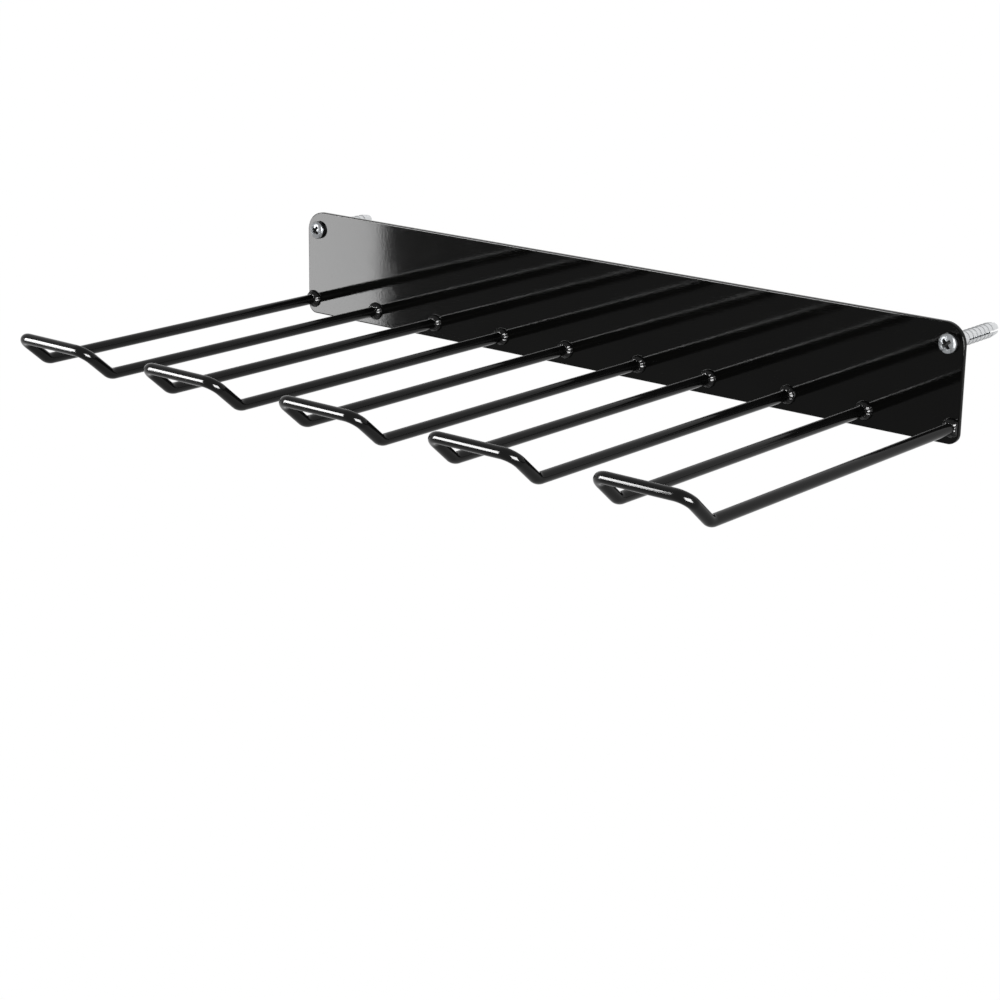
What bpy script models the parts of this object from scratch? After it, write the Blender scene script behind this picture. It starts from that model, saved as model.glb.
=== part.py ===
"""Wall rack for cordless power tools: a long steel plate with closed wire hooks welded along it.

A tool hangs by its handle in the slot between two neighbouring hooks, with its battery on top of their legs.
Lengths are in metres and +Z is up. The origin is the middle of the plate's back face, which lies on the wall.
The wall is on the +Y side, and the hooks reach towards -Y.
"""

import math

import bmesh
import bpy
from mathutils import Matrix, Vector

# Hooks: each is one round rod, bent into two straight legs, a raised tip and a crossbar
hook_count = 5
hook_pitch = 0.100
hook_width = 0.052
rod_diameter = 0.0062
leg_reach = 0.215
tip_length = 0.024
tip_angle = math.radians(40)
lower_bend_radius = 0.008
upper_bend_radius = 0.007

# Plate: a flat steel bar, whose length follows from the row of hooks
plate_height = 0.064
plate_thickness = 0.003
plate_edge_radius = 0.0005
top_corner_radius = 0.012
bottom_corner_radius = 0.006
end_margin = 0.0044
leg_height = 0.009

# Welds: a bead round the root of each leg, with the ripples that the torch leaves
weld_leg = 0.0023
weld_length = 0.0030
weld_face_power = 1.45
weld_ripple = 0.00024
weld_ripple_count = 9
weld_turn_share = 0.382

# Wall screws: pan head, cross recess, pointed tip
screw_inset_side = 0.0088
screw_inset_top = 0.0110
screw_diameter = 0.0055
screw_length = 0.045
screw_point_length = 0.007
head_diameter = 0.0108
head_height = 0.0034
head_rim_share = 0.32
recess_span = 0.0062
recess_width = 0.0013
recess_depth = 0.0026
recess_floor_share = 0.40
recess_turn = math.radians(38)

# Wall plugs: split nylon tube with barbs, pushed in until it lies just below the wall's face
plug_diameter = 0.0082
plug_length = 0.040
plug_recess = 0.0022
plug_rim_length = 0.0010
plug_mouth_chamfer = 0.0006
barb_depth = 0.0004
barb_count = 7
plug_neck_length = 0.008
plug_slot_width = 0.0012
plug_nose_length = 0.0025

# Clearances
seat_gap = 0.0003
hole_clearance = 0.0005
cut_overrun = 0.001

# Facets of the round forms
rod_bevel_resolution = 6
bend_steps = 7
turn_steps = 24
corner_steps = 8
weld_steps = 36
dome_steps = 6
weld_face_steps = 4
flat_angle = math.radians(1)
merge_distance = 0.00001

rod_radius = rod_diameter / 2
row_length = (hook_count - 1) * hook_pitch
plate_length = row_length + hook_width + 2 * end_margin
plate_bottom = -plate_height / 2
plate_top = plate_height / 2
flat_half_length = plate_length / 2 - plate_edge_radius
leg_z = plate_bottom + leg_height
leg_root_y = -plate_thickness - seat_gap
screw_x = plate_length / 2 - screw_inset_side
screw_z = plate_top - screw_inset_top
screw_radius = screw_diameter / 2
head_radius = head_diameter / 2

# Turns a piece made along +Z so that it points out of the wall, along -Y
out_of_wall = math.pi / 2


def clear_scene():
    for item in list(bpy.data.objects):
        bpy.data.objects.remove(item, do_unlink=True)
    for collection in list(bpy.data.collections):
        bpy.data.collections.remove(collection)


def new_collection(name):
    collection = bpy.data.collections.new(name)
    bpy.context.scene.collection.children.link(collection)
    return collection


def new_material(name, colour, roughness, metallic):
    material = bpy.data.materials.new(name)
    material.use_nodes = True
    shader = material.node_tree.nodes["Principled BSDF"]
    shader.inputs["Base Color"].default_value = (*colour, 1.0)
    shader.inputs["Roughness"].default_value = roughness
    shader.inputs["Metallic"].default_value = metallic
    return material


def place(name, data, collection, location, turn=0.0, parent=None):
    """Add an object that lies on its side, facing out of the wall, turned about its own axis."""
    item = bpy.data.objects.new(name, data)
    item.location = location
    item.rotation_euler = (out_of_wall, -turn, 0.0)
    item.parent = parent
    collection.objects.link(item)
    return item


def evaluated_mesh(item):
    """The mesh of an object with its modifiers, as new data. The object is removed."""
    bpy.context.view_layer.update()
    graph = bpy.context.evaluated_depsgraph_get()
    mesh = bpy.data.meshes.new_from_object(item.evaluated_get(graph))
    bpy.data.objects.remove(item, do_unlink=True)
    return mesh


def tidy_mesh(mesh):
    """Weld loose seams, turn the faces outwards and shade the round faces smooth."""
    work = bmesh.new()
    work.from_mesh(mesh)
    bmesh.ops.remove_doubles(work, verts=work.verts, dist=merge_distance)
    bmesh.ops.recalc_face_normals(work, faces=work.faces)
    work.to_mesh(mesh)
    work.free()
    mesh.shade_smooth()
    mesh.set_sharp_from_angle(angle=math.radians(35))
    return mesh


def arc(centre, radius, start, sweep, steps):
    """Points of an arc in a plane, both ends included."""
    points = []
    for step in range(steps + 1):
        angle = start + sweep * step / steps
        x = centre[0] + radius * math.cos(angle)
        y = centre[1] + radius * math.sin(angle)
        points.append((x, y))
    return points


def rounded_corner(before, corner, after, radius, steps):
    """The arc that rounds a corner of a path in space."""
    back = (before - corner).normalized()
    ahead = (after - corner).normalized()
    opening = back.angle(ahead)
    middle = (back + ahead).normalized()
    centre = corner + middle * (radius / math.sin(opening / 2))
    tangent_length = radius / math.tan(opening / 2)
    start = corner + back * tangent_length - centre
    axis = back.cross(ahead).normalized()
    sweep = -(math.pi - opening)
    points = []
    for step in range(steps + 1):
        turn = Matrix.Rotation(sweep * step / steps, 3, axis)
        points.append(centre + turn @ start)
    return points


def hook_path():
    """The rod's axis: out along one leg, up the tip, across, and back along the other leg."""
    half = hook_width / 2
    reach_y = -plate_thickness - leg_reach
    tip_y = reach_y - tip_length * math.cos(tip_angle)
    tip_z = leg_z + tip_length * math.sin(tip_angle)
    corners = [
        Vector((-half, leg_root_y, leg_z)),
        Vector((-half, reach_y, leg_z)),
        Vector((-half, tip_y, tip_z)),
        Vector((half, tip_y, tip_z)),
        Vector((half, reach_y, leg_z)),
        Vector((half, leg_root_y, leg_z)),
    ]
    radii = (lower_bend_radius, upper_bend_radius, upper_bend_radius, lower_bend_radius)
    path = [corners[0]]
    for index, radius in enumerate(radii, start=1):
        path += rounded_corner(corners[index - 1], corners[index], corners[index + 1], radius, bend_steps)
    path.append(corners[-1])
    return path


def hook_curve(material):
    """The bent rod as a round curve with filled ends."""
    curve = bpy.data.curves.new("bent_rod", "CURVE")
    curve.dimensions = "3D"
    curve.bevel_depth = rod_radius
    curve.bevel_resolution = rod_bevel_resolution
    curve.use_fill_caps = True
    path = hook_path()
    spline = curve.splines.new("POLY")
    spline.points.add(len(path) - 1)
    for point, position in zip(spline.points, path):
        point.co = (*position, 1.0)
    spline.use_smooth = True
    curve.materials.append(material)
    return curve


def flat_outline_mesh(name, loops, thickness):
    """A flat plate of closed loops, the first its outline and the others its holes."""
    curve = bpy.data.curves.new(name, "CURVE")
    curve.dimensions = "2D"
    curve.fill_mode = "BOTH"
    curve.extrude = thickness / 2
    for loop in loops:
        spline = curve.splines.new("POLY")
        spline.points.add(len(loop) - 1)
        for point, (x, y) in zip(spline.points, loop):
            point.co = (x, y, 0.0, 1.0)
        spline.use_cyclic_u = True
    item = bpy.data.objects.new(name, curve)
    bpy.context.scene.collection.objects.link(item)
    return tidy_mesh(evaluated_mesh(item))


def plate_outline():
    """The plate's rectangle with its wide upper and tight lower corners, from the right end round."""
    half = plate_length / 2
    quarter = math.pi / 2
    top, bottom = top_corner_radius, bottom_corner_radius
    outline = arc((half - top, plate_top - top), top, 0.0, quarter, corner_steps)
    outline += arc((top - half, plate_top - top), top, quarter, quarter, corner_steps)
    outline += arc((bottom - half, plate_bottom + bottom), bottom, 2 * quarter, quarter, corner_steps)
    outline += arc((half - bottom, plate_bottom + bottom), bottom, 3 * quarter, quarter, corner_steps)
    return outline


def hole_loop(x, z):
    full = arc((x, z), screw_radius + hole_clearance, 0.0, 2 * math.pi, turn_steps)
    return full[:-1]


def join_flat_faces(mesh):
    """Join the small faces that lie in one plane, so that the rounding has room beside every edge."""
    work = bmesh.new()
    work.from_mesh(mesh)
    bmesh.ops.dissolve_limit(work, angle_limit=flat_angle, verts=work.verts, edges=work.edges)
    work.to_mesh(mesh)
    work.free()


def build_plate(collection, parent, material):
    loops = [plate_outline(), hole_loop(-screw_x, screw_z), hole_loop(screw_x, screw_z)]
    mesh = flat_outline_mesh("back_plate", loops, plate_thickness)
    join_flat_faces(mesh)
    mesh.materials.append(material)
    plate = place("back_plate", mesh, collection, (0.0, -plate_thickness / 2, 0.0), parent=parent)
    bevel = plate.modifiers.new("rounded_edges", "BEVEL")
    bevel.width = plate_edge_radius
    bevel.segments = 2
    bevel.use_clamp_overlap = False
    bevel.limit_method = "ANGLE"
    bevel.angle_limit = math.radians(60)
    return plate


def turned_mesh(name, profile, closed, steps):
    """Turn a profile of (radius, height) points about the Z axis."""
    mesh = bpy.data.meshes.new(name)
    vertices = [(radius, 0.0, height) for radius, height in profile]
    edges = [(index, index + 1) for index in range(len(profile) - 1)]
    if closed:
        edges.append((len(profile) - 1, 0))
    mesh.from_pydata(vertices, edges, [])
    item = bpy.data.objects.new(name, mesh)
    bpy.context.scene.collection.objects.link(item)
    screw = item.modifiers.new("turn", "SCREW")
    screw.axis = "Z"
    screw.angle = 2 * math.pi
    screw.steps = steps
    screw.render_steps = steps
    screw.use_merge_vertices = True
    screw.merge_threshold = merge_distance
    return tidy_mesh(evaluated_mesh(item))


def weld_profile():
    """Cross-section of the bead, with its bore round the rod: a slightly full slope from plate to rod."""
    bore = rod_radius + seat_gap
    width = rod_radius + weld_leg - bore
    profile = [(bore, 0.0)]
    for step in range(weld_face_steps + 1):
        angle = math.pi / 2 * step / weld_face_steps
        out = abs(math.cos(angle)) ** weld_face_power
        up = math.sin(angle) ** weld_face_power
        profile.append((bore + width * out, weld_length * up))
    return profile


def weld_mesh(name, leg_x, turn, material):
    """The turned bead, swollen by its ripples and dressed flush where it would pass the plate's end."""
    mesh = turned_mesh(name, weld_profile(), True, weld_steps)
    bore = rod_radius + seat_gap
    for vertex in mesh.vertices:
        x, y, z = vertex.co
        radius = math.hypot(x, y)
        ripple = abs(math.sin(weld_ripple_count / 2 * (math.atan2(y, x) - turn)))
        vertex.co.z = z * (1 + ripple * weld_ripple / weld_length)
        if radius > bore + merge_distance:
            grown = 1 + ripple * weld_ripple / radius
            vertex.co.x = min(max(x * grown, -flat_half_length - leg_x), flat_half_length - leg_x)
            vertex.co.y = y * grown
    mesh.materials.append(material)
    return mesh


def build_hooks(collection, parent, rod_material, weld_material):
    curve = hook_curve(rod_material)
    weld_number = 0
    for number in range(1, hook_count + 1):
        middle = (number - 1) * hook_pitch - row_length / 2
        hook = bpy.data.objects.new(f"wire_hook_{number}", curve)
        hook.location.x = middle
        hook.parent = parent
        collection.objects.link(hook)
        for side, x in (("left", middle - hook_width / 2), ("right", middle + hook_width / 2)):
            weld_number += 1
            turn = 2 * math.pi * weld_turn_share * weld_number
            name = f"hook_weld_{number}_{side}"
            bead = weld_mesh(name, x, turn, weld_material)
            place(name, bead, collection, (x, leg_root_y, leg_z), parent=parent)


def plus_outline(half_span, half_width):
    """A cross with square arms, as twelve points."""
    points = []
    for quarter in range(4):
        turn = Matrix.Rotation(quarter * math.pi / 2, 2)
        for corner in ((half_span, -half_width), (half_span, half_width), (half_width, half_width)):
            points.append(turn @ Vector(corner))
    return points


def plus_cutter(name, collection, location, turn, parent, top, bottom):
    """A cross-shaped cutter between two outlines, each given as (z, half span, half width)."""
    rings = []
    work = bmesh.new()
    for z, half_span, half_width in (top, bottom):
        rings.append([work.verts.new((*point, z)) for point in plus_outline(half_span, half_width)])
    count = len(rings[0])
    work.faces.new(rings[0])
    work.faces.new(reversed(rings[1]))
    for index in range(count):
        after = (index + 1) % count
        work.faces.new((rings[0][after], rings[0][index], rings[1][index], rings[1][after]))
    bmesh.ops.recalc_face_normals(work, faces=work.faces)
    mesh = bpy.data.meshes.new(name)
    work.to_mesh(mesh)
    work.free()
    cutter = place(name, mesh, collection, location, turn, parent)
    cutter.hide_render = True
    cutter.display_type = "WIRE"
    return cutter


def cut(item, cutter):
    boolean = item.modifiers.new("cut", "BOOLEAN")
    boolean.operation = "DIFFERENCE"
    boolean.object = cutter


def screw_profile():
    """Domed head above the seat at zero, plain shank and point below it."""
    rim = head_height * head_rim_share
    dome = head_height - rim
    profile = []
    for step in range(dome_steps + 1):
        angle = math.pi / 2 * (1 - step / dome_steps)
        profile.append((head_radius * math.cos(angle), rim + dome * math.sin(angle)))
    profile[0] = (0.0, head_height)
    profile.append((head_radius, 0.0))
    profile.append((screw_radius, 0.0))
    profile.append((screw_radius, screw_point_length - screw_length))
    profile.append((0.0, -screw_length))
    return profile


def plug_profile():
    """Chamfered mouth and rim at zero, smooth neck, barbs and a tapered nose, with the bore inside."""
    outer = plug_diameter / 2
    bore = screw_radius + seat_gap
    barb_zone = plug_length - plug_rim_length - plug_neck_length - plug_nose_length
    barb_length = barb_zone / barb_count
    profile = [
        (bore, -plug_mouth_chamfer),
        (bore + plug_mouth_chamfer, 0.0),
        (outer, 0.0),
        (outer, -plug_rim_length),
        (outer - barb_depth, -plug_rim_length),
    ]
    z = -plug_rim_length - plug_neck_length
    for _ in range(barb_count):
        profile.append((outer, z))
        profile.append((outer - barb_depth, z - barb_length))
        z -= barb_length
    profile.append((bore + (outer - barb_depth - bore) / 2, -plug_length))
    profile.append((bore, -plug_length))
    return profile


def build_fasteners(collection, cutters, parent, screw_material, plug_material):
    screw = turned_mesh("pan_head_screw", screw_profile(), False, turn_steps)
    screw.materials.append(screw_material)
    plug = turned_mesh("split_plug", plug_profile(), True, turn_steps)
    plug.materials.append(plug_material)
    recess_top = (head_height + cut_overrun, recess_span / 2, recess_width / 2)
    recess_floor = (
        head_height - recess_depth,
        recess_span / 2 * recess_floor_share,
        recess_width / 2 * recess_floor_share,
    )
    slot_top = (-plug_rim_length - plug_neck_length, plug_diameter, plug_slot_width / 2)
    slot_end = (-plug_length - cut_overrun, plug_diameter, plug_slot_width / 2)
    for side, x, turn in (("left", -screw_x, -recess_turn), ("right", screw_x, recess_turn)):
        seat = (x, -plate_thickness - seat_gap, screw_z)
        screw_item = place(f"wall_screw_{side}", screw, collection, seat, turn, parent)
        recess = plus_cutter(f"recess_cutter_{side}", cutters, seat, turn, parent, recess_top, recess_floor)
        cut(screw_item, recess)
        mouth = (x, plug_recess, screw_z)
        plug_item = place(f"wall_plug_{side}", plug, collection, mouth, parent=parent)
        slot = plus_cutter(f"slot_cutter_{side}", cutters, mouth, 0.0, parent, slot_top, slot_end)
        cut(plug_item, slot)


def main():
    clear_scene()
    parts = new_collection("power_tool_rack")
    cutters = new_collection("cutters")
    centre = bpy.data.objects.new("wall_face_centre", None)
    parts.objects.link(centre)
    plate_coat = new_material("plate_coat", (0.010, 0.010, 0.010), 0.16, 0.0)
    rod_coat = new_material("rod_coat", (0.012, 0.012, 0.012), 0.18, 0.0)
    weld_coat = new_material("weld_coat", (0.012, 0.012, 0.012), 0.22, 0.0)
    zinc = new_material("bright_zinc", (0.70, 0.71, 0.73), 0.24, 1.0)
    nylon = new_material("grey_nylon", (0.42, 0.43, 0.44), 0.45, 0.0)
    build_plate(parts, centre, plate_coat)
    build_hooks(parts, centre, rod_coat, weld_coat)
    build_fasteners(parts, cutters, centre, zinc, nylon)


main()
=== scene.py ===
"""Wall mounted power tool organizer, dressed over its CAD frame.

A black powder-coated steel plate carries five closed wire hooks, each welded on by its two legs.
Two zinc-plated pan-head screws in grey nylon plugs fix the plate to the wall.
Lengths are in metres and +Z is up. The plate's back lies on the wall, and the hooks reach towards -Y.
"""

import math
from typing import NamedTuple

import bmesh
import bpy
from bpy.props import FloatProperty, FloatVectorProperty, IntProperty, PointerProperty
from mathutils import Matrix, Vector, noise


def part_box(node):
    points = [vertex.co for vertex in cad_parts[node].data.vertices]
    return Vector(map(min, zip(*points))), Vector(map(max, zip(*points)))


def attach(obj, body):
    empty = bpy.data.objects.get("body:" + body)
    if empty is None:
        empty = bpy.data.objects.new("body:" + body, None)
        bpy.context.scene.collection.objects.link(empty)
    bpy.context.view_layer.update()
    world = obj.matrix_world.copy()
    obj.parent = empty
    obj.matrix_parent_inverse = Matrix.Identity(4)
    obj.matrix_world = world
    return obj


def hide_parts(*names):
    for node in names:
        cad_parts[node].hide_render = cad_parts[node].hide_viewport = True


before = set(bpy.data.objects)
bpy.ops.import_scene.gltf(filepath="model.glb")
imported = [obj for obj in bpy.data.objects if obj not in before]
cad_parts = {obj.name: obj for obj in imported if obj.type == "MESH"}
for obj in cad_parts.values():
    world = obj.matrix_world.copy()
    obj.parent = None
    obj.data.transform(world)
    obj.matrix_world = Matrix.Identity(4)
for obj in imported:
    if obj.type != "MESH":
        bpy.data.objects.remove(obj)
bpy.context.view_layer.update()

bl_info = {
    "name": "Power tool rack",
    "version": (1, 0, 0),
    "blender": (4, 5, 0),
    "location": "3D View > Sidebar > Tool rack",
    "description": "Builds a wall rack of welded wire hooks, its screws and plugs, and a studio round it",
    "category": "Add Mesh",
}

body = "root"
plate_node = "back_plate"
hook_prefix = "wire_hook_"
weld_prefix = "hook_weld_"
screw_prefix = "wall_screw_"
plug_prefix = "wall_plug_"
sides = ("left", "right")
plate_low, plate_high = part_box(plate_node)
quarter_turn = math.pi / 2
full_turn = 2 * math.pi

# The coated pieces and the bare ones each have softboxes of their own
coat_slots = ("plate_coat", "rod_coat", "weld_coat")
coated_group = "coated_pieces"
bare_group = "bare_pieces"

camera_sensor_mm = 36.0
camera_reach = (0.05, 200.0)
overhead_beam = (-0.494, -0.230, -0.839)


class Softbox(NamedTuple):
    """A rectangular lamp, in metres; glow names the stage setting that holds its brightness."""

    name: str
    group: str
    centre: tuple
    size: tuple
    beam: tuple
    glow: str


softboxes = (
    Softbox("front_softbox", coated_group, (-1.2335, -1.45, 0.265), (1.223, 0.87), (0.0, 1.0, 0.0), "front_glow"),
    Softbox("low_softbox", coated_group, (-1.773, -1.45, -0.40), (0.574, 0.34), (0.0, 1.0, 0.0), "low_glow"),
    Softbox("right_softbox", coated_group, (1.69, -0.99, 0.18), (1.40, 1.10), (-0.88, 0.47, -0.10), "right_glow"),
    Softbox("bare_front_softbox", bare_group, (-1.22, -1.45, 0.265), (0.90, 0.87), (0.0, 1.0, 0.0), "bare_glow"),
    Softbox("bare_right_softbox", bare_group, (1.45, -1.32, 0.30), (0.95, 2.60), (-0.74, 0.67, -0.10), "bare_glow"),
)


def millimetres(value):
    return value / 1000


def length(name, description, default_mm):
    """A length that the sidebar shows, given here in millimetres."""
    return FloatProperty(
        name=name, description=description, default=millimetres(default_mm), min=0.0, precision=5, unit="LENGTH"
    )


def place_length(name, description, default):
    """A distance that may be negative, given in metres."""
    return FloatProperty(name=name, description=description, default=default, precision=4, unit="LENGTH")


def number(name, description, default):
    return FloatProperty(name=name, description=description, default=default, min=0.0)


def angle(name, description, degrees):
    return FloatProperty(name=name, description=description, default=math.radians(degrees), unit="ROTATION")


def share(name, description, default):
    return FloatProperty(name=name, description=description, default=default, min=0.0, max=1.0, subtype="FACTOR")


def colour(name, description, default):
    return FloatVectorProperty(
        name=name, description=description, default=default, min=0.0, max=1.0, size=3, subtype="COLOR"
    )


def count(name, description, default):
    return IntProperty(name=name, description=description, default=default, min=1)


class RackPlateSettings(bpy.types.PropertyGroup):
    """Sizes and finish of the flat plate."""

    top_corner: length("Upper corners", "Radius of the plate's two upper corners", 12)
    bottom_corner: length("Lower corners", "Radius of the plate's two lower corners", 6)
    edge_radius: length("Edge rounding", "Rounding of every edge under the powder coat", 0.5)
    edge_support: length("Edge band", "Width of the flat band beside the rounding", 0.35)
    hole_diameter: length("Screw holes", "Diameter of the two holes", 6.5)
    corner_steps: count("Corner steps", "Facets in each corner", 24)
    hole_steps: count("Hole steps", "Facets round each hole", 64)
    edge_steps: count("Edge steps", "Facets across each rounded edge", 5)
    coat: colour("Coat", "Colour of the powder coat on the plate", (0.0030, 0.0030, 0.0028))
    coat_roughness: share("Coat roughness", "Roughness of the powder coat on the plate", 0.045)
    coat_gloss: share("Coat gloss", "Specular level of the powder coat on the plate", 0.065)
    peel_scale: number("Peel scale", "Ripples of orange peel in a metre of the plate", 700.0)
    peel_depth: length("Peel depth", "Depth of the orange peel on the plate", 0.008)


class RackHookSettings(bpy.types.PropertyGroup):
    """Sizes and finish of the bent rods."""

    rod_diameter: length("Rod", "Diameter of the steel rod with its coat", 6.2)
    tip_angle: angle("Tip angle", "How steeply the tips rise from the legs", 40)
    lower_bend: length("Lower bends", "Radius of the bends where the tips rise, at the rod's axis", 8)
    upper_bend: length("Upper bends", "Radius of the bends into the crossbar, at the rod's axis", 7)
    rod_sides: count("Rod sides", "Facets round the rod", 40)
    bend_steps: count("Bend steps", "Facets along each bend", 24)
    straight_step: length("Straight step", "Spacing of the rings along the straight lengths", 8)
    coat: colour("Coat", "Colour of the powder coat on the rods", (0.0030, 0.0030, 0.0030))
    coat_roughness: share("Coat roughness", "Roughness of the powder coat on the rods", 0.12)
    coat_gloss: share("Coat gloss", "Specular level of the powder coat on the rods", 0.13)
    peel_scale: number("Peel scale", "Ripples of orange peel in a metre of rod", 650.0)
    peel_depth: length("Peel depth", "Depth of the orange peel on the rods", 0.008)


class RackWeldSettings(bpy.types.PropertyGroup):
    """Sizes and finish of the weld beads."""

    leg: length("Leg", "How far a bead spreads over the plate from the rod", 2.3)
    length: length("Length", "How far a bead runs up the rod", 3.3)
    ripple: length("Ripple", "Height of the ripples along a bead", 0.30)
    ripple_count: count("Ripples", "Ripples in one turn of a bead", 11)
    turn_share: share("Start", "Share of a turn between the starts of one bead and the next", 0.382)
    face_power: number("Face", "Fullness of a bead's slope", 1.45)
    face_lean: number("Ripple lean", "How far the ripples lean along a bead", 0.30)
    lump_share: share("Lumps", "How far a bead's width and height wander", 0.13)
    turn_steps: count("Turn steps", "Facets round a bead", 144)
    face_steps: count("Face steps", "Facets up the slope of a bead", 14)
    coat: colour("Coat", "Colour of the powder coat on the beads", (0.0030, 0.0030, 0.0030))
    coat_roughness: share("Coat roughness", "Roughness of the powder coat on the beads", 0.13)
    coat_gloss: share("Coat gloss", "Specular level of the powder coat on the beads", 0.14)
    peel_scale: number("Peel scale", "Ripples of orange peel in a metre of bead", 1100.0)
    peel_depth: length("Peel depth", "Depth of the orange peel on the beads", 0.02)


class RackScrewSettings(bpy.types.PropertyGroup):
    """Sizes and finish of the wall screws."""

    head_diameter: length("Head", "Diameter of the pan head", 10.8)
    rim_height: length("Rim", "Height of the upright rim under the dome", 1.1)
    seat_gap: length("Seat gap", "Height of the head's seat above the plate in the CAD frame", 0.3)
    seat_drop: length("Seat drop", "How far the head closes that gap", 0.27)
    shank_diameter: length("Shank", "Outer diameter of the thread", 5.5)
    core_diameter: length("Core", "Diameter at the root of the thread", 3.7)
    thread_pitch: length("Pitch", "Distance from one turn of the thread to the next", 2.4)
    plain_length: length("Plain length", "Length under the head that has no thread", 4)
    point_length: length("Point", "Length of the tapered point", 7)
    recess_span: length("Recess span", "Width across the cross recess", 6.2)
    recess_width: length("Recess arms", "Width of an arm of the cross recess", 1.9)
    recess_depth: length("Recess depth", "Depth of the cross recess", 2.3)
    recess_turn: angle("Recess turn", "How far the driver left the cross turned", 38)
    head_grid: count("Head grid", "Cells across the head", 120)
    shank_sides: count("Shank sides", "Facets round the shank", 60)
    # Set darker than clean zinc: the darker grey is painted dark reflection of dark surroundings
    zinc: colour("Zinc", "Colour of the bright zinc plating", (0.26, 0.27, 0.28))
    zinc_roughness: share("Zinc roughness", "Roughness of the zinc plating", 0.20)


class RackPlugSettings(bpy.types.PropertyGroup):
    """Sizes and finish of the wall plugs."""

    bore: length("Bore", "Diameter of the bore", 6.1)
    rim_length: length("Rim", "Length of the plain rim at the mouth", 1.0)
    mouth_chamfer: length("Mouth", "Chamfer of the bore's mouth", 0.6)
    neck_length: length("Neck", "Length of the smooth neck behind the rim", 8)
    nose_length: length("Nose", "Length of the tapered end", 2.5)
    barb_depth: length("Barb depth", "How far each barb stands out", 0.4)
    barb_count: count("Barbs", "Rows of barbs along the plug", 7)
    barb_steps: count("Barb steps", "Facets over the back of each barb", 4)
    slot_width: length("Slots", "Width of the four slots", 1.2)
    turn_steps: count("Turn steps", "Facets round the plug", 64)
    nylon: colour("Nylon", "Colour of the nylon", (0.56, 0.57, 0.58))
    nylon_roughness: share("Nylon roughness", "Roughness of the nylon", 0.45)
    nylon_gloss: share("Nylon gloss", "Specular level of the nylon", 0.3)


class RackStageSettings(bpy.types.PropertyGroup):
    """Camera, floor and lamps."""

    azimuth: angle("Azimuth", "Camera angle round the rack, to its right", 39.4191)
    elevation: angle("Elevation", "Camera angle above the level", 17.0344)
    roll: angle("Roll", "Turn of the camera about its view", 0.8099)
    distance: place_length("Distance", "From the camera to the point it looks at", 1.4041)
    aim: FloatVectorProperty(
        name="Aim", description="The point the camera looks at", default=(-0.0284, -0.0576, -0.1017),
        size=3, precision=4, subtype="TRANSLATION", unit="LENGTH"
    )
    focal_length: FloatProperty(name="Lens", description="Focal length in millimetres", default=88.747, unit="CAMERA")
    floor_drop: place_length("Floor drop", "How far the floor lies below the rack's middle", 0.95)
    floor_size: place_length("Floor size", "Length of the floor's sides", 40.0)
    floor_tint: colour("Floor", "Colour of the floor", (0.95, 0.95, 0.95))
    floor_glow: share("Floor glow", "How far the floor shows as plain white", 0.62)
    sky: share("Sky", "Strength of the even light from all round", 0.55)
    sun: number("Overhead lamp", "Strength of the soft overhead lamp", 1.90)
    sun_spread: angle("Overhead spread", "Apparent size of the overhead lamp", 9)
    front_glow: number("Front box", "Brightness of the front softbox in the coats' gloss", 78.0)
    low_glow: number("Low box", "Brightness of the low softbox in the coats' gloss", 42.0)
    right_glow: number("Right box", "Brightness of the right softbox in the coats' gloss", 85.0)
    bare_glow: number("Bare boxes", "Brightness of the two softboxes for zinc and nylon", 8.0)


def operator_pair(operation):
    """The plain and the reflected method of one Python operator."""

    def plain(self, other):
        return self.join(operation, self, other)

    def reflected(self, other):
        return self.join(operation, other, self)

    return plain, reflected


class Signal:
    """A node output that takes part in Python sums, each of which adds a Math node."""

    def __init__(self, sheet, socket):
        self.sheet = sheet
        self.socket = socket

    def join(self, operation, first, second):
        return self.sheet.add("ShaderNodeMath", {"operation": operation}, {0: first, 1: second})

    __add__, __radd__ = operator_pair("ADD")
    __sub__, __rsub__ = operator_pair("SUBTRACT")
    __mul__, __rmul__ = operator_pair("MULTIPLY")
    __truediv__, __rtruediv__ = operator_pair("DIVIDE")
    __pow__, __rpow__ = operator_pair("POWER")


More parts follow.
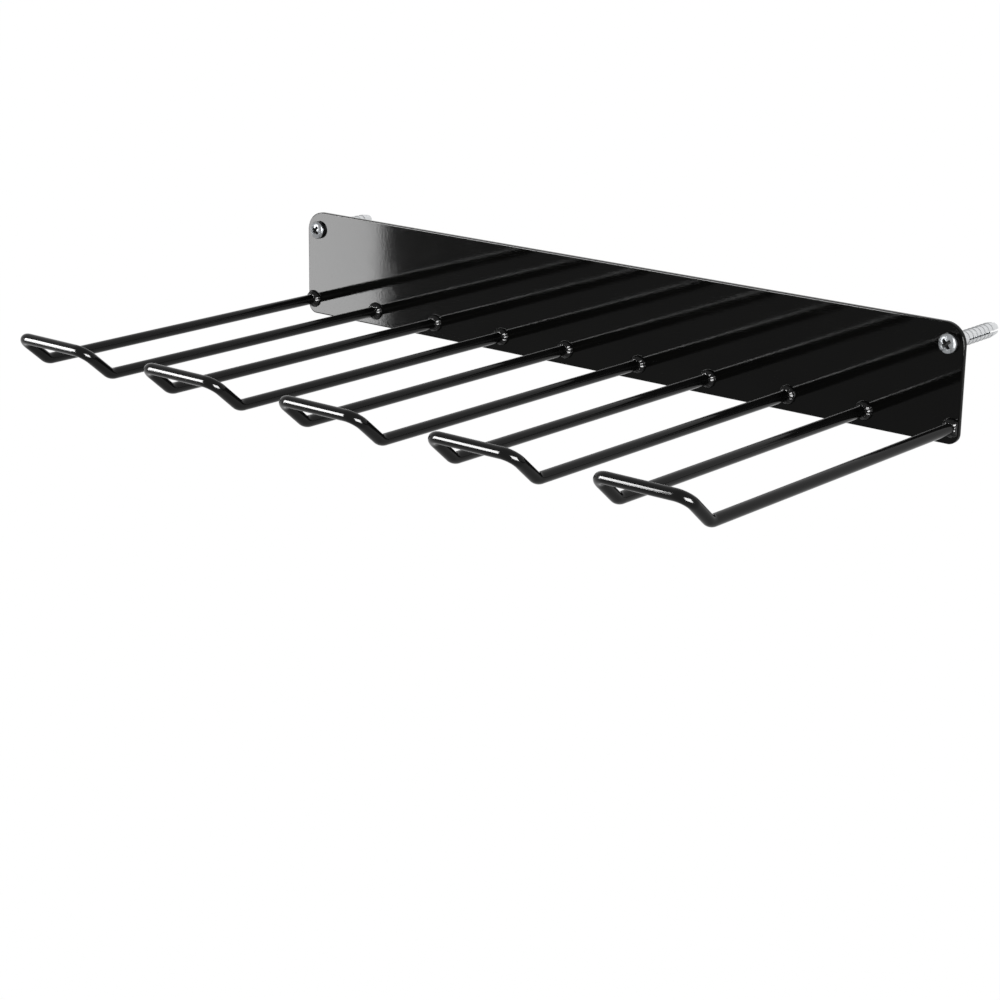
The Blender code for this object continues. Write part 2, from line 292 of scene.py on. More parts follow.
class NodeSheet:
    """The node tree of one material, or of the world."""

    def __init__(self, owner):
        owner.use_nodes = True
        self.tree = owner.node_tree
        self.tree.nodes.clear()

    def add(self, kind, settings=None, inputs=None, output=0):
        """Add a node, set it, feed its sockets, and give back one of its outputs."""
        node = self.tree.nodes.new(kind)
        for name, value in (settings or {}).items():
            setattr(node, name, value)
        for key, value in (inputs or {}).items():
            self.feed(node.inputs[key], value)
        return Signal(self, node.outputs[output]) if node.outputs else None

    def feed(self, socket, value):
        if isinstance(value, Signal):
            self.tree.links.new(value.socket, socket)
        elif socket.type == "RGBA" and len(value) == 3:
            socket.default_value = (*value, 1.0)
        else:
            socket.default_value = value

    def object_place(self):
        return self.add("ShaderNodeTexCoord", output="Object")

    def noise(self, place, scale, detail=2.0, roughness=0.5, distortion=0.0):
        inputs = {
            "Vector": place, "Scale": scale, "Detail": detail, "Roughness": roughness, "Distortion": distortion
        }
        return self.add("ShaderNodeTexNoise", inputs=inputs)

    def cells(self, place, scale, output="Distance"):
        return self.add("ShaderNodeTexVoronoi", inputs={"Vector": place, "Scale": scale}, output=output)

    def greater(self, first, second):
        return self.add("ShaderNodeMath", {"operation": "MAXIMUM"}, {0: first, 1: second})

    def band(self, value, low, high):
        """Zero at low, one at high, smooth between."""
        settings = {"interpolation_type": "SMOOTHSTEP"}
        inputs = {"Value": value, "From Min": low, "From Max": high}
        return self.add("ShaderNodeMapRange", settings, inputs)

    def blend(self, factor, first, second):
        """A colour between two, by a factor."""
        return self.add("ShaderNodeMix", {"data_type": "RGBA"}, {0: factor, 6: first, 7: second}, 2)

    def stretched(self, place, scale):
        """The place, stretched by a scale on each axis."""
        return self.add("ShaderNodeVectorMath", {"operation": "MULTIPLY"}, {0: place, 1: scale})

    def parts(self, place):
        """The place's three coordinates, each as a signal."""
        return [self.add("ShaderNodeSeparateXYZ", inputs={0: place}, output=axis) for axis in range(3)]

    def relief(self, height, depth):
        """A normal from a height between zero and one, with its depth in metres."""
        return self.add("ShaderNodeBump", inputs={"Strength": 1.0, "Distance": depth, "Height": height})

    def surface(self, inputs):
        shader = self.add("ShaderNodeBsdfPrincipled", inputs=inputs)
        self.add("ShaderNodeOutputMaterial", inputs={"Surface": shader})


def tinted(tone, factor):
    return tuple(channel * factor for channel in tone)


def powder_coat(name, settings):
    """Gloss black powder coat: soft orange peel, fine grain, dust nibs and a cloudy gloss."""
    cloud_scale, smudge_scale, nib_scale = 21.0, 58.0, 210.0
    grains_per_ripple = 6.5
    dark, light = tinted(settings.coat, 0.75), tinted(settings.coat, 1.35)
    least_roughness, cloud_roughness = settings.coat_roughness * 0.80, settings.coat_roughness * 0.34
    material = bpy.data.materials.new(name)
    sheet = NodeSheet(material)
    place = sheet.object_place()
    cloud = sheet.noise(place, cloud_scale, detail=3.0, roughness=0.55)
    smudge = sheet.noise(place, smudge_scale, detail=4.0, roughness=0.6, distortion=0.4)
    smudge = sheet.band(smudge, 0.52, 0.74)
    peel = sheet.noise(place, settings.peel_scale, roughness=0.45)
    grain = sheet.noise(place, settings.peel_scale * grains_per_ripple, detail=1.0)
    nib = sheet.band(sheet.cells(place, nib_scale), 0.085, 0.02)
    sheet.surface({
        "Base Color": sheet.blend(cloud, dark, light),
        "Roughness": least_roughness + cloud * cloud_roughness + smudge * 0.02 + nib * 0.10,
        "Specular IOR Level": settings.coat_gloss,
        "Normal": sheet.relief(peel * 0.72 + grain * 0.10 + nib * 0.18, settings.peel_depth),
    })
    return material


def bright_zinc(name, settings, head_height):
    """Bright zinc plating, set darker than clean zinc as painted dark reflection: mottled crystals, lathe marks on
    the dome, patches of painted dark reflection, and a dull cross recess darkened by painted shade.
    """
    crystal_scale, cloud_scale, dark_reflection_scale = 900.0, 420.0, 330.0
    lathe_pace, lathe_waver = 42000.0, 9.0
    scratch_stretch = (2600.0, 240.0, 900.0)
    dark, light = tinted(settings.zinc, 0.80), tinted(settings.zinc, 1.25)
    # Near-black painted shade for the cross recess, and a darker grey for the patches of painted dark reflection
    dark_reflection_tone, recess_shade_tone = (0.16, 0.16, 0.165), (0.020, 0.020, 0.019)
    mark_depth = millimetres(0.03)
    material = bpy.data.materials.new(name)
    sheet = NodeSheet(material)
    place = sheet.object_place()

    # Painted shade darkens where the surface lies lower than the dome would be, but still in the head: the cross
    # recess, which is also made duller and less metallic
    across, along, up = sheet.parts(place)
    radius = (across * across + along * along) ** 0.5
    dome = sheet.greater(1.0 - (radius / (settings.head_diameter / 2)) ** 2.0, 0.0) ** 0.5
    dome_height = settings.rim_height + dome * (head_height - settings.rim_height)
    sunk = sheet.band(dome_height - up, millimetres(0.25), millimetres(1.1))
    recess_shade = sunk * sheet.band(up, millimetres(0.2), millimetres(0.5))

    mottle = sheet.add("ShaderNodeRGBToBW", inputs={0: sheet.cells(place, crystal_scale, output="Color")})
    cloud = sheet.noise(place, cloud_scale, detail=3.0, roughness=0.6)
    rings = sheet.add("ShaderNodeMath", {"operation": "SINE"}, {0: radius * lathe_pace + cloud * lathe_waver})
    scratch = sheet.band(sheet.noise(sheet.stretched(place, scratch_stretch), 1.0), 0.60, 0.72)
    # Patches of painted dark reflection, darker and a little rougher than the rest of the zinc
    dark_reflection_patch = sheet.noise(place, dark_reflection_scale, detail=3.0, roughness=0.55, distortion=0.6)
    dark_reflection_patch = sheet.band(dark_reflection_patch, 0.48, 0.66)
    clean = sheet.blend(mottle * 0.5 + cloud * 0.5, dark, light)
    with_dark_reflection = sheet.blend(dark_reflection_patch * 0.55, clean, dark_reflection_tone)
    roughness = settings.zinc_roughness * 0.8 + mottle * 0.07
    sheet.surface({
        # Painted shade darkens the cross recess over the zinc and its painted reflection patches
        "Base Color": sheet.blend(recess_shade * 0.92, with_dark_reflection, recess_shade_tone),
        "Metallic": 1.0 - recess_shade * 0.35,
        "Roughness": roughness + scratch * 0.10 + dark_reflection_patch * 0.08 + recess_shade * 0.22,
        "Normal": sheet.relief(rings * 0.06 + cloud * 0.55 + scratch * 0.20, mark_depth),
    })
    return material


def grey_nylon(name, settings):
    """Moulded nylon: faint speckle, flow marks along the plug and a fine matt grain."""
    speckle_scale = 5200.0
    flow_stretch = (900.0, 900.0, 90.0)
    dark, light = tinted(settings.nylon, 0.86), tinted(settings.nylon, 1.12)
    mark_depth = millimetres(0.04)
    material = bpy.data.materials.new(name)
    sheet = NodeSheet(material)
    place = sheet.object_place()
    speckle = sheet.noise(place, speckle_scale, roughness=0.7)
    flow = sheet.noise(sheet.stretched(place, flow_stretch), 1.0, detail=3.0)
    sheet.surface({
        "Base Color": sheet.blend(speckle * 0.45 + flow * 0.55, dark, light),
        "Roughness": settings.nylon_roughness * 0.85 + flow * 0.14,
        "Specular IOR Level": settings.nylon_gloss,
        "Normal": sheet.relief(speckle * 0.4 + flow * 0.6, mark_depth),
    })
    return material


def lit_group(name):
    """The collection of the pieces that one set of softboxes lights."""
    return bpy.data.collections.get(name) or bpy.data.collections.new(name)


def finish_piece(name, work, material, slot, node, sharp_degrees=60.0):
    """Turn a worked mesh into a piece that stands for a CAD node and rides on its body."""
    bmesh.ops.recalc_face_normals(work, faces=work.faces)
    mesh = bpy.data.meshes.new(name)
    work.to_mesh(mesh)
    work.free()
    mesh.shade_smooth()
    mesh.set_sharp_from_angle(angle=math.radians(sharp_degrees))
    mesh.materials.append(material)
    item = bpy.data.objects.new(name, mesh)
    bpy.context.scene.collection.objects.link(item)
    lit_group(coated_group if slot in coat_slots else bare_group).objects.link(item)
    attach(item, body)
    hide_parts(node)
    return item


def bridge(work, first, second):
    """Quads between two closed rings with the same number of points."""
    total = len(first)
    for index in range(total):
        after = (index + 1) % total
        work.faces.new((first[index], first[after], second[after], second[index]))


def ring_points(radius, height, steps):
    points = []
    for step in range(steps):
        turn = full_turn * step / steps
        points.append((radius * math.cos(turn), radius * math.sin(turn), height))
    return points


def add_ring(work, points):
    return [work.verts.new(point) for point in points]


def ring_edges(work, ring):
    return [work.edges.get((ring[index - 1], ring[index])) for index in range(len(ring))]


def plate_contours(settings):
    """The outline and the two holes, as points with the direction out of the steel."""
    outline = []
    corners = (
        (plate_high.x, plate_high.z, settings.top_corner, 0),
        (plate_low.x, plate_high.z, settings.top_corner, 1),
        (plate_low.x, plate_low.z, settings.bottom_corner, 2),
        (plate_high.x, plate_low.z, settings.bottom_corner, 3),
    )
    for corner_x, corner_z, radius, quarter in corners:
        centre_x = corner_x - math.copysign(radius, corner_x)
        centre_z = corner_z - math.copysign(radius, corner_z)
        for step in range(settings.corner_steps + 1):
            turn = (quarter + step / settings.corner_steps) * quarter_turn
            out = (math.cos(turn), math.sin(turn))
            outline.append((centre_x + radius * out[0], centre_z + radius * out[1], *out))
    contours = [outline]
    for side in sides:
        low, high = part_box(screw_prefix + side)
        centre_x, centre_z = (low.x + high.x) / 2, (low.z + high.z) / 2
        hole = []
        for step in range(settings.hole_steps):
            turn = full_turn * step / settings.hole_steps
            out = (-math.cos(turn), -math.sin(turn))
            radius = settings.hole_diameter / 2
            hole.append((centre_x - radius * out[0], centre_z - radius * out[1], *out))
        contours.append(hole)
    return contours


def plate_profile(settings):
    """The rounded edge from the back to the front, as inset and depth."""
    radius = settings.edge_radius
    profile = [(radius + settings.edge_support, plate_high.y)]
    for step in range(settings.edge_steps + 1):
        turn = quarter_turn * step / settings.edge_steps
        profile.append((radius * (1 - math.sin(turn)), plate_high.y - radius * (1 - math.cos(turn))))
    for step in range(settings.edge_steps + 1):
        turn = quarter_turn * step / settings.edge_steps
        profile.append((radius * (1 - math.cos(turn)), plate_low.y + radius * (1 - math.sin(turn))))
    profile.append((radius + settings.edge_support, plate_low.y))
    return profile


class RACK_OT_plate(bpy.types.Operator):
    """Build the powder-coated plate with its rounded corners and two screw holes"""

    bl_idname = "rack.plate"
    bl_label = "Coated plate"

    def execute(self, context):
        settings = context.scene.rack_plate
        profile = plate_profile(settings)
        work = bmesh.new()
        borders = {0: [], -1: []}
        for contour in plate_contours(settings):
            rings = []
            for inset, depth in profile:
                points = [(x - out_x * inset, depth, z - out_z * inset) for x, z, out_x, out_z in contour]
                rings.append(add_ring(work, points))
            for first, second in zip(rings, rings[1:]):
                bridge(work, first, second)
            for end in borders:
                borders[end] += ring_edges(work, rings[end])
        for edges in borders.values():
            bmesh.ops.triangle_fill(work, use_beauty=True, edges=edges)
        coat = powder_coat("plate_powder_coat", settings)
        finish_piece("coated_plate", work, coat, "plate_coat", plate_node)
        return {"FINISHED"}


def rounded_corner(before, corner, after, radius, steps):
    """The arc that rounds a corner of a path in space."""
    back = (before - corner).normalized()
    ahead = (after - corner).normalized()
    opening = back.angle(ahead)
    centre = corner + (back + ahead).normalized() * (radius / math.sin(opening / 2))
    start = corner + back * (radius / math.tan(opening / 2)) - centre
    axis = back.cross(ahead).normalized()
    sweep = opening - math.pi
    return [centre + Matrix.Rotation(sweep * step / steps, 3, axis) @ start for step in range(steps + 1)]


def with_steps(path, spacing):
    """The path with extra points along its long straight lengths."""
    filled = [path[0]]
    for before, after in zip(path, path[1:]):
        parts = max(1, round((after - before).length / spacing))
        filled += [before.lerp(after, part / parts) for part in range(1, parts + 1)]
    return filled


def rod_path(low, high, settings):
    """The rod's axis: out along one leg, up the tip, across, and back along the other leg."""
    radius = settings.rod_diameter / 2
    left, right = low.x + radius, high.x - radius
    leg_z, tip_z = low.z + radius, high.z - radius
    tip_y = low.y + radius
    reach_y = tip_y + (tip_z - leg_z) / math.tan(settings.tip_angle)
    corners = [
        Vector((left, plate_low.y, leg_z)),
        Vector((left, reach_y, leg_z)),
        Vector((left, tip_y, tip_z)),
        Vector((right, tip_y, tip_z)),
        Vector((right, reach_y, leg_z)),
        Vector((right, plate_low.y, leg_z)),
    ]
    bends = (settings.lower_bend, settings.upper_bend, settings.upper_bend, settings.lower_bend)
    path = [corners[0]]
    for index, bend in enumerate(bends, start=1):
        path += rounded_corner(corners[index - 1], corners[index], corners[index + 1], bend, settings.bend_steps)
    path.append(corners[-1])
    return with_steps(path, settings.straight_step)


def sweep_rod(work, path, radius, facets):
    """A round rod along a path, with its ends closed."""
    upright = Vector((0.0, 0.0, 1.0))
    rings = []
    for index, point in enumerate(path):
        before = path[max(index - 1, 0)]
        after = path[min(index + 1, len(path) - 1)]
        along = (after - before).normalized()
        upright = (upright - along * upright.dot(along)).normalized()
        level = along.cross(upright)
        ring = []
        for facet in range(facets):
            turn = full_turn * facet / facets
            ring.append(work.verts.new(point + radius * (math.cos(turn) * upright + math.sin(turn) * level)))
        rings.append(ring)
    for first, second in zip(rings, rings[1:]):
        bridge(work, first, second)
    work.faces.new(rings[0])
    work.faces.new(rings[-1])


def hook_nodes():
    return sorted(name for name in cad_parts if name.startswith(hook_prefix))


class RACK_OT_hooks(bpy.types.Operator):
    """Build the bent rods, one for each hook"""

    bl_idname = "rack.hooks"
    bl_label = "Bent rods"

    def execute(self, context):
        settings = context.scene.rack_hooks
        coat = powder_coat("rod_powder_coat", settings)
        for node in hook_nodes():
            low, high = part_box(node)
            work = bmesh.new()
            path = rod_path(low, high, settings)
            sweep_rod(work, path, settings.rod_diameter / 2, settings.rod_sides)
            finish_piece(f"bent_rod_{node.removeprefix(hook_prefix)}", work, coat, "rod_coat", node)
        return {"FINISHED"}


def lumped(size, turn, pace, seed, lump_share):
    """A bead's size at one turn, drawn in by slow lumps that meet after a full turn."""
    drift = noise.noise(Vector((pace * math.cos(turn), pace * math.sin(turn), seed)))
    return size * (1 - lump_share * (0.5 + drift))


def bead_profile(turn, start, seed, inner, width, settings):
    """A bead's slope at one turn, from its foot on the plate up to the rod, as radius and height."""
    spread_pace, climb_pace, climb_seed = 1.1, 1.7, 9.0
    crest_power, least_ripple = 0.7, 0.25
    spread = lumped(width, turn, spread_pace, seed, settings.lump_share)
    climb = lumped(settings.length, turn, climb_pace, seed + climb_seed, settings.lump_share)
    profile = [(inner, 0.0)]
    for face in range(settings.face_steps + 1):
        slope = quarter_turn * face / settings.face_steps
        middle = math.sin(2 * slope)
        wave = abs(math.sin(settings.ripple_count / 2 * (turn - start) + settings.face_lean * middle))
        ripple = settings.ripple * wave ** crest_power * (least_ripple + (1 - least_ripple) * middle)
        out = abs(math.cos(slope)) ** settings.face_power * spread
        up = math.sin(slope) ** settings.face_power * climb
        profile.append((inner + out + ripple * math.cos(slope), up + ripple * math.sin(slope)))
    return profile


def weld_bead(work, leg_x, leg_z, start, seed, rod_radius, settings, reach_limit):
    """A rippled bead round a leg's root, dressed flush where it would pass the plate's end."""
    sunk = millimetres(0.05)
    inner = rod_radius - 2 * sunk
    width = settings.leg + 2 * sunk
    rings = []
    for step in range(settings.turn_steps):
        turn = full_turn * step / settings.turn_steps
        points = []
        for radius, height in bead_profile(turn, start, seed, inner, width, settings):
            x = leg_x + radius * math.cos(turn)
            x = min(max(x, -reach_limit), reach_limit)
            points.append((x, plate_low.y + sunk - height, leg_z + radius * math.sin(turn)))
        rings.append(add_ring(work, points))
    for ring, after in zip(rings, rings[1:] + rings[:1]):
        bridge(work, ring, after)


class RACK_OT_welds(bpy.types.Operator):
    """Build the weld beads, one round each leg's root"""

    bl_idname = "rack.welds"
    bl_label = "Weld beads"

    def execute(self, context):
        settings = context.scene.rack_welds
        rod_radius = context.scene.rack_hooks.rod_diameter / 2
        reach_limit = plate_high.x - context.scene.rack_plate.edge_radius
        coat = powder_coat("weld_powder_coat", settings)
        seed_step = 3.7
        made = 0
        for hook in hook_nodes():
            low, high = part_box(hook)
            leg_z = low.z + rod_radius
            for side, leg_x in zip(sides, (low.x + rod_radius, high.x - rod_radius)):
                made += 1
                start = full_turn * settings.turn_share * made
                work = bmesh.new()
                weld_bead(work, leg_x, leg_z, start, seed_step * made, rod_radius, settings, reach_limit)
                place = f"{hook.removeprefix(hook_prefix)}_{side}"
                finish_piece(f"weld_bead_{place}", work, coat, "weld_coat", weld_prefix + place)
        return {"FINISHED"}


def recess_drop(x, y, settings):
    """How far the cross recess lies below the dome at a point of the head."""
    half_span = settings.recess_span / 2
    half_width = settings.recess_width / 2
    side_slope, end_slope = 4.5, 1.75
    ease = millimetres(0.07)
    drop = 0.0
    for along, across in ((abs(x), abs(y)), (abs(y), abs(x))):
        arm = min((half_width - across) * side_slope, (half_span - along) * end_slope, settings.recess_depth)
        drop = max(drop, arm)
    return drop * drop / (drop + ease)


def head_point(column, row, settings, head_height):
    """A point of the domed head: a square grid drawn out into a disc and lifted to the dome."""
    dome_power = 0.85
    u = 2 * column / settings.head_grid - 1
    v = 2 * row / settings.head_grid - 1
    across = u * math.sqrt(1 - v * v / 2)
    along = v * math.sqrt(1 - u * u / 2)
    reach = min(math.hypot(across, along), 1.0)
    slope = quarter_turn * reach
    spread = math.sin(slope) / reach if reach > 0 else quarter_turn
    radius = settings.head_diameter / 2
    x, y = radius * across * spread, radius * along * spread
    dome = (head_height - settings.rim_height) * max(math.cos(slope), 0.0) ** dome_power
    return Vector((x, y, settings.rim_height + dome - recess_drop(x, y, settings)))


def grid_border(total):
    """The outer cells of a square grid, once round."""
    border = [(column, 0) for column in range(total)]
    border += [(total, row) for row in range(total)]
    border += [(total - column, total) for column in range(total)]
    border += [(0, total - row) for row in range(total)]
    return border


def thread_radius(turn, depth, shank_length, settings):
    """Radius of the threaded shank at an angle and a depth below the seat."""
    core = settings.core_diameter / 2
    crest = settings.shank_diameter / 2
    plain_share, flank_share = 0.55, 0.22
    if depth < settings.plain_length:
        return core + (crest - core) * plain_share
    taper = min(1.0, (shank_length - depth) / settings.point_length)
    phase = (depth / settings.thread_pitch - turn / full_turn) % 1.0
    flank = max(0.0, 1 - abs(phase - 0.5) / flank_share)
    start = min(1.0, (depth - settings.plain_length) / settings.thread_pitch)
    return (core + (crest - core) * flank * start) * taper


def screw_head(work, settings, head_height):
    """The domed head down to the ring round its seat. Gives back that ring."""
    total = settings.head_grid
    grid = []
    for row in range(total + 1):
        grid.append([work.verts.new(head_point(column, row, settings, head_height)) for column in range(total + 1)])
    for below, above in zip(grid, grid[1:]):
        for column in range(total):
            work.faces.new((below[column], below[column + 1], above[column + 1], above[column]))
    rim = [grid[row][column] for column, row in grid_border(total)]
    radius = settings.head_diameter / 2
    ease = millimetres(0.18)
    ease_middle = ease * 0.29
    for inset, height in ((0.0, ease), (ease_middle, ease_middle), (ease, 0.0)):
        points = []
        for vertex in rim:
            flat = Vector((vertex.co.x, vertex.co.y)).normalized() * (radius - inset)
            points.append((flat.x, flat.y, height - settings.seat_drop))
        ring = add_ring(work, points)
        bridge(work, rim, ring)
        rim = ring
    return rim


def screw_shank(work, rim, settings, shank_length):
    """The underside of the head and the threaded shank below it, down to the point."""
    rows_per_turn = 12
    facets = settings.shank_sides
    share_of_rim = len(rim) // facets
    turns = [math.atan2(vertex.co.y, vertex.co.x) for vertex in rim[::share_of_rim]]
    rows = round(shank_length / settings.thread_pitch * rows_per_turn)
    rings = []
    for row in range(rows):
        depth = shank_length * row / rows
        height = -settings.seat_drop if row == 0 else -depth
        points = []
        for turn in turns:
            reach = thread_radius(turn, depth, shank_length, settings)
            points.append((reach * math.cos(turn), reach * math.sin(turn), height))
        rings.append(add_ring(work, points))
    for facet in range(facets):
        first = facet * share_of_rim
        outer = [rim[(first + step) % len(rim)] for step in range(share_of_rim + 1)]
        work.faces.new((*outer, rings[0][(facet + 1) % facets], rings[0][facet]))
    for first, second in zip(rings, rings[1:]):
        bridge(work, first, second)
    tip = work.verts.new((0.0, 0.0, -shank_length))
    for facet in range(facets):
        work.faces.new((rings[-1][facet], rings[-1][(facet + 1) % facets], tip))


class RACK_OT_screws(bpy.types.Operator):
    """Build the two pan-head screws with their cross recesses and threads"""

    bl_idname = "rack.screws"
    bl_label = "Wall screws"

    def execute(self, context):
        settings = context.scene.rack_screws
        seat_y = plate_low.y - settings.seat_gap
        for side, turn in zip(sides, (-settings.recess_turn, settings.recess_turn)):
            node = screw_prefix + side
            low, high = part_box(node)
            head_height = seat_y - low.y
            work = bmesh.new()
            rim = screw_head(work, settings, head_height)
            screw_shank(work, rim, settings, high.y - seat_y)
            zinc = bright_zinc(f"bright_zinc_{side}", settings, head_height)
            item = finish_piece(f"pan_head_screw_{side}", work, zinc, "bright_zinc", node, sharp_degrees=50.0)
            item.location = ((low.x + high.x) / 2, seat_y, (low.z + high.z) / 2)
            item.rotation_euler = (quarter_turn, -turn, 0.0)
        return {"FINISHED"}


def plug_profile(outer, length, settings):
    """Chamfered mouth and rim at zero, neck, barbs and nose below it, and the bore inside."""
    bore = settings.bore / 2
    waist = outer - settings.barb_depth
    rim_ease, barb_gap, barb_power = millimetres(0.15), millimetres(0.08), 1.6
    profile = [
        (bore, -settings.mouth_chamfer),
        (bore + settings.mouth_chamfer, 0.0),
        (outer - rim_ease, 0.0),
        (outer, -rim_ease),
        (outer, -settings.rim_length),
        (waist, -settings.rim_length),
    ]
    depth = settings.rim_length + settings.neck_length
    barb_length = (length - depth - settings.nose_length) / settings.barb_count
    for _ in range(settings.barb_count):
        profile.append((waist, -depth))
        for step in range(settings.barb_steps + 1):
            part = step / settings.barb_steps
            radius = outer - settings.barb_depth * part ** barb_power
            profile.append((radius, -depth - barb_gap - (barb_length - 2 * barb_gap) * part))
        depth += barb_length
    profile.append((bore + (waist - bore) / 2, -length))
    profile.append((bore, -length))
    return profile


def working_object(name, work):
    """An object from a worked mesh, with its faces turned out, for use in a cut."""
    bmesh.ops.recalc_face_normals(work, faces=work.faces)
    mesh = bpy.data.meshes.new(name)
    work.to_mesh(mesh)
    work.free()
    item = bpy.data.objects.new(name, mesh)
    bpy.context.scene.collection.objects.link(item)
    return item


def slot_cutter(outer, top, bottom, width):
    """Two crossed slabs that cut the four slots."""
    work = bmesh.new()
    half, reach = width / 2, 2 * outer
    for reach_x, reach_y in ((reach, half), (half, reach)):
        corners = [(-reach_x, -reach_y), (reach_x, -reach_y), (reach_x, reach_y), (-reach_x, reach_y)]
        upper = add_ring(work, [(x, y, top) for x, y in corners])
        lower = add_ring(work, [(x, y, bottom) for x, y in corners])
        bridge(work, upper, lower)
        work.faces.new(upper)
        work.faces.new(lower)
    return working_object("slot_cutter", work)


def slotted_plug(outer, length, settings):
    """The turned plug with its four slots cut, as a worked mesh."""
    work = bmesh.new()
    profile = plug_profile(outer, length, settings)
    rings = [add_ring(work, ring_points(*point, settings.turn_steps)) for point in profile]
    for first, second in zip(rings, rings[1:] + rings[:1]):
        bridge(work, first, second)
    plug = working_object("turned_plug", work)
    top = -settings.rim_length - settings.neck_length
    cutter = slot_cutter(outer, top, -length - settings.rim_length, settings.slot_width)
    cut = plug.modifiers.new("slots", "BOOLEAN")
    cut.operation = "DIFFERENCE"
    cut.solver = "EXACT"
    cut.use_self = True
    cut.object = cutter
    bpy.context.view_layer.update()
    graph = bpy.context.evaluated_depsgraph_get()
    result = bmesh.new()
    result.from_mesh(plug.evaluated_get(graph).to_mesh())
    for item in (plug, cutter):
        data = item.data
        bpy.data.objects.remove(item, do_unlink=True)
        bpy.data.meshes.remove(data)
    return result


class RACK_OT_plugs(bpy.types.Operator):
    """Build the two split nylon plugs behind the plate"""

    bl_idname = "rack.plugs"
    bl_label = "Wall plugs"

    def execute(self, context):
        settings = context.scene.rack_plugs
        nylon = grey_nylon("grey_nylon_plug", settings)
        for side in sides:
            node = plug_prefix + side
            low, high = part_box(node)
            outer = (high.x - low.x) / 2
            work = slotted_plug(outer, high.y - low.y, settings)
            item = finish_piece(f"nylon_plug_{side}", work, nylon, "grey_nylon", node, sharp_degrees=30.0)
            item.location = ((low.x + high.x) / 2, low.y, (low.z + high.z) / 2)
            item.rotation_euler = (quarter_turn, 0.0, 0.0)
        return {"FINISHED"}


def seen_directly(sheet):
    """One for rays from the camera and for those that gloss or glass send on, as a signal."""
    rays = ("Is Camera Ray", "Is Glossy Ray", "Is Transmission Ray")
    camera, glossy, through = [sheet.add("ShaderNodeLightPath", output=name) for name in rays]
    return sheet.greater(sheet.greater(camera, glossy), through)


def add_floor(settings):
    half = settings.floor_size / 2
    level = -settings.floor_drop
    corners = [(-half, -half, level), (half, -half, level), (half, half, level), (-half, half, level)]
    mesh = bpy.data.meshes.new("pale_floor")
    mesh.from_pydata(corners, [], [(0, 1, 2, 3)])
    material = bpy.data.materials.new("pale_floor")
    sheet = NodeSheet(material)
    paint = sheet.add("ShaderNodeBsdfDiffuse", inputs={"Color": settings.floor_tint})
    glow = sheet.add("ShaderNodeEmission", inputs={"Color": (1.0, 1.0, 1.0), "Strength": 1.0})
    white = seen_directly(sheet) * settings.floor_glow
    mix = sheet.add("ShaderNodeMixShader", inputs={0: white, 1: paint, 2: glow})
    sheet.add("ShaderNodeOutputMaterial", inputs={"Surface": mix})
    mesh.materials.append(material)
    floor = bpy.data.objects.new("pale_floor", mesh)
    bpy.context.scene.collection.objects.link(floor)


def add_sky(scene, settings):
    """White wherever it is seen, and a plain even light on everything else."""
    world = bpy.data.worlds.new("studio_sky")
    scene.world = world
    sheet = NodeSheet(world)
    strength = settings.sky + seen_directly(sheet) * (1.0 - settings.sky)
    sky = sheet.add("ShaderNodeBackground", inputs={"Color": (1.0, 1.0, 1.0), "Strength": strength})
    sheet.add("ShaderNodeOutputWorld", inputs={"Surface": sky})


def facing(beam):
    """Rotation of a lamp that shines along a direction."""
    return Vector(beam).to_track_quat("-Z", "Y").to_euler()


def add_softbox(box, glow):
    """A softbox that only shapes the gloss of its group: its glow is the brightness of its face."""
    lamp = bpy.data.lights.new(box.name, "AREA")
    lamp.shape = "RECTANGLE"
    lamp.size, lamp.size_y = box.size
    lamp.energy = glow * math.pi * lamp.size * lamp.size_y
    item = bpy.data.objects.new(box.name, lamp)
    item.location = box.centre
    item.rotation_euler = facing(box.beam)
    item.visible_diffuse = False
    item.visible_camera = False
    item.light_linking.receiver_collection = lit_group(box.group)
    bpy.context.scene.collection.objects.link(item)


def add_sun(settings):
    lamp = bpy.data.lights.new("overhead_lamp", "SUN")
    lamp.energy = settings.sun
    lamp.angle = settings.sun_spread
    item = bpy.data.objects.new("overhead_lamp", lamp)
    item.rotation_euler = facing(overhead_beam)
    item.visible_glossy = False
    bpy.context.scene.collection.objects.link(item)


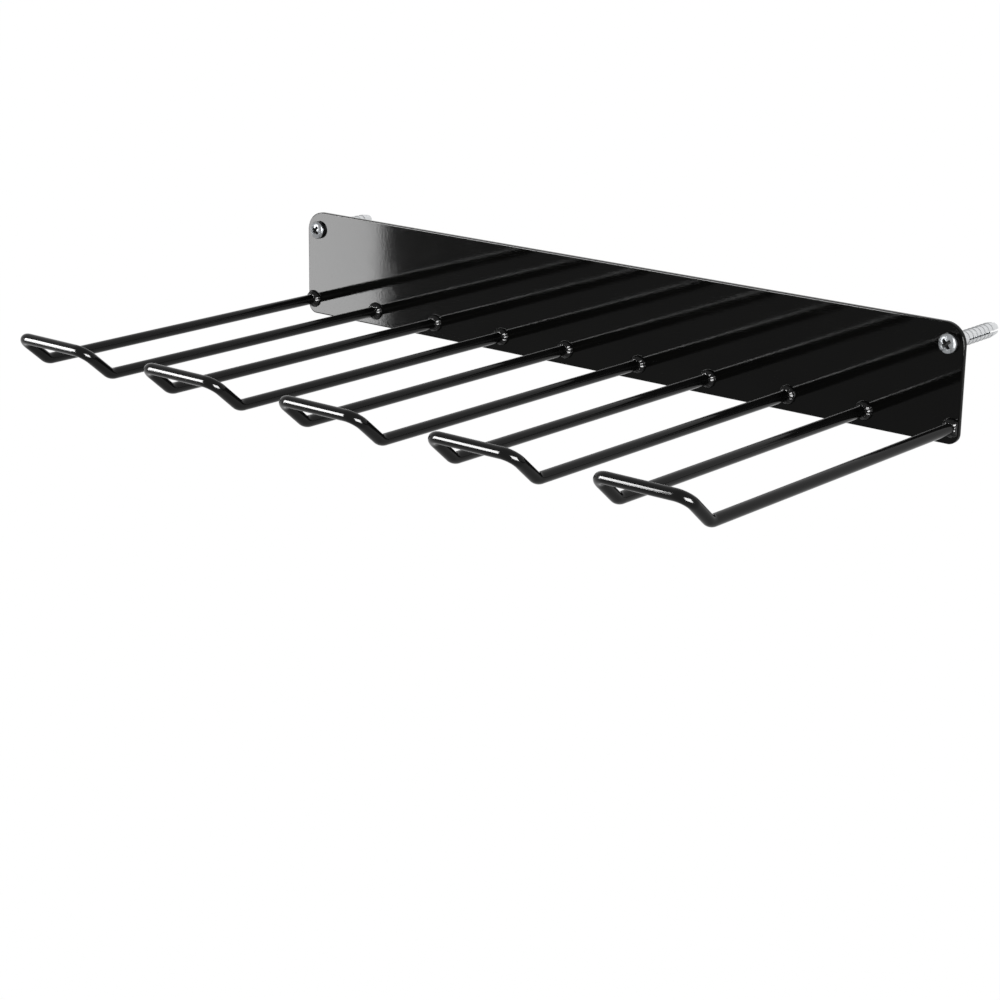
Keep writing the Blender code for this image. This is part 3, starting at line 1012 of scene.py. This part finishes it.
def add_camera(scene, settings):
    """The camera looks at a point between the plate and the tips, from the front right and above."""
    flat = math.cos(settings.elevation)
    back = Vector((
        math.sin(settings.azimuth) * flat,
        -math.cos(settings.azimuth) * flat,
        math.sin(settings.elevation),
    ))
    right = (-back).cross(Vector((0.0, 0.0, 1.0))).normalized()
    down = (-back).cross(right)
    turned_right = math.cos(settings.roll) * right - math.sin(settings.roll) * down
    turned_down = math.sin(settings.roll) * right + math.cos(settings.roll) * down
    turn = Matrix((turned_right, -turned_down, back)).transposed().to_4x4()
    data = bpy.data.cameras.new("rack_camera")
    data.lens = settings.focal_length
    data.sensor_width = camera_sensor_mm
    data.clip_start, data.clip_end = camera_reach
    camera = bpy.data.objects.new("rack_camera", data)
    camera.matrix_world = Matrix.Translation(Vector(settings.aim) + back * settings.distance) @ turn
    scene.collection.objects.link(camera)
    scene.camera = camera


class RACK_OT_stage(bpy.types.Operator):
    """Build the floor, the sky, the lamps and the camera"""

    bl_idname = "rack.stage"
    bl_label = "Studio"

    def execute(self, context):
        scene = context.scene
        settings = scene.rack_stage
        scene.view_settings.view_transform = "Standard"
        add_floor(settings)
        add_sky(scene, settings)
        add_sun(settings)
        for box in softboxes:
            add_softbox(box, getattr(settings, box.glow))
        add_camera(scene, settings)
        return {"FINISHED"}


builders = (
    ("rack_plate", RackPlateSettings, RACK_OT_plate),
    ("rack_hooks", RackHookSettings, RACK_OT_hooks),
    ("rack_welds", RackWeldSettings, RACK_OT_welds),
    ("rack_screws", RackScrewSettings, RACK_OT_screws),
    ("rack_plugs", RackPlugSettings, RACK_OT_plugs),
    ("rack_stage", RackStageSettings, RACK_OT_stage),
)


class RACK_PT_builder(bpy.types.Panel):
    """The rack's builders, in the 3D view's sidebar"""

    bl_label = "Power tool rack"
    bl_idname = "RACK_PT_builder"
    bl_space_type = "VIEW_3D"
    bl_region_type = "UI"
    bl_category = "Tool rack"

    def draw(self, context):
        for name, group, operator in builders:
            self.layout.operator(operator.bl_idname)
            column = self.layout.column(align=True)
            for setting in group.__annotations__:
                column.prop(getattr(context.scene, name), setting)


def register():
    for name, group, operator in builders:
        bpy.utils.register_class(group)
        setattr(bpy.types.Scene, name, PointerProperty(type=group))
        bpy.utils.register_class(operator)
    bpy.utils.register_class(RACK_PT_builder)


def unregister():
    bpy.utils.unregister_class(RACK_PT_builder)
    for name, group, operator in reversed(builders):
        bpy.utils.unregister_class(operator)
        delattr(bpy.types.Scene, name)
        bpy.utils.unregister_class(group)


def main():
    register()
    bpy.ops.rack.plate()
    bpy.ops.rack.hooks()
    bpy.ops.rack.welds()
    bpy.ops.rack.screws()
    bpy.ops.rack.plugs()
    bpy.ops.rack.stage()


if __name__ == "__main__":
    main()
